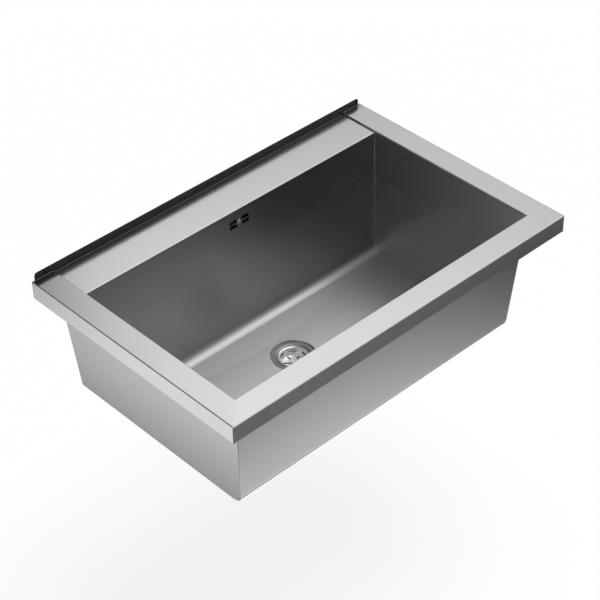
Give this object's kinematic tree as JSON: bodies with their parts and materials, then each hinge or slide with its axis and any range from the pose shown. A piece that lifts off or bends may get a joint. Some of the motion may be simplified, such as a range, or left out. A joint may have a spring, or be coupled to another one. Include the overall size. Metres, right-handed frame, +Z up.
{
  "type": "kitchen sink",
  "caption": "Long stainless steel wash sink with a tap deck, an upstand, an overflow and a waste with a lift-out strainer basket.",
  "frame": {"origin": "on the back face that meets the wall, midway along it and level with the top of the rim", "axes": "+X along the front to the right as one stands at the sink, +Y to the wall, +Z up"},
  "size_m": [1, 0.65, 0.4577],
  "materials": {
    "stainless": "brushed along each panel, satin",
    "chrome": "polished",
    "bright_steel": "bright",
    "rubber": "matte",
    "sound_pad": "matte",
    "plastic": "moulded",
    "brass": "machined"
  },
  "bodies": {
    "sink": {"bowl_sheet": "stainless", "left_end_panel": "stainless", "right_end_panel": "stainless", "wall_rail": "stainless", "tie_bar": "stainless", "sound_pads": "sound_pad", "strainer_dish": "chrome", "flange_gasket": "rubber", "clamp_gasket": "rubber", "waste_body": "plastic", "outlet_cone": "plastic", "fixing_screw": "bright_steel", "insert_nut": "brass", "overflow_gasket": "rubber", "overflow_housing": "plastic", "overflow_screw": "bright_steel", "overflow_insert": "brass", "overflow_pipe": "plastic", "pipe_nuts": "plastic", "pipe_seals": "rubber"},
    "basket": {"strainer_basket": "chrome", "basket_knob": "chrome", "basket_stem": "bright_steel", "plug_seal": "rubber", "plug_washer": "bright_steel", "plug_nut": "bright_steel"}
  },
  "joints": [
    {"name": "basket_lift", "type": "slide", "parent": "sink", "child": "basket", "axis": [0, 0, 1], "range_m": [0, 0.06]}
  ]
}
